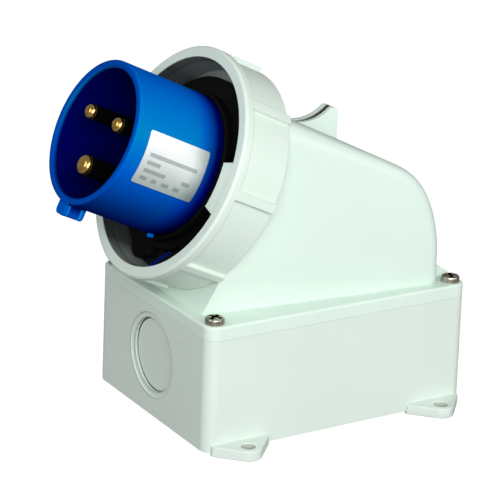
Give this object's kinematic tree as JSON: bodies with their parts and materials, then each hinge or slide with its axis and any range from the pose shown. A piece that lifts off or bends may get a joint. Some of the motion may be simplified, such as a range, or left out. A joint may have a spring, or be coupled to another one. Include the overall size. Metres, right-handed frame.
{
  "type": "surface mount appliance inlet",
  "caption": "Wall box with an angled cover that carries a round blue plug: three brass pins in a keyed shroud, inside a turning white bayonet ring.",
  "frame": {"origin": "centre of the mounting holes' rectangle, on the mounting face", "axes": "+Z out of the mounting face, -X the way the plug leans, Y across the box"},
  "size_m": [0.1601, 0.1108, 0.1454],
  "materials": {
    "housing_plastic": "satin, pale green-white",
    "ring_plastic": "satin, pale green-white",
    "blue_plastic": "satin blue",
    "liner_plastic": "glossy black",
    "inner_plastic": "matte",
    "brass": "turned",
    "rubber": "matte black",
    "screw_steel": "plated",
    "label_foil": "silver-white film"
  },
  "bodies": {
    "housing": {"back_box": "housing_plastic", "cover": "housing_plastic", "cover_gasket": "rubber", "cover_screws": "screw_steel", "plug_insert": "blue_plastic", "insert_seal": "rubber", "insert_screws": "screw_steel", "pin_line": "brass", "pin_neutral": "brass", "pin_earth": "brass", "pin_retainer": "inner_plastic", "retainer_screws": "screw_steel", "terminal_screws": "screw_steel", "liner": "liner_plastic", "face_seal": "rubber", "rating_label": "label_foil"},
    "ring": {"bayonet_ring": "ring_plastic"}
  },
  "joints": [
    {"name": "ring_turn", "type": "hinge", "parent": "housing", "child": "ring", "pos_m": [-0.0342, 0, 0.09447], "axis": [0.9063, 0, -0.4226], "range_deg": [0, 45]}
  ]
}
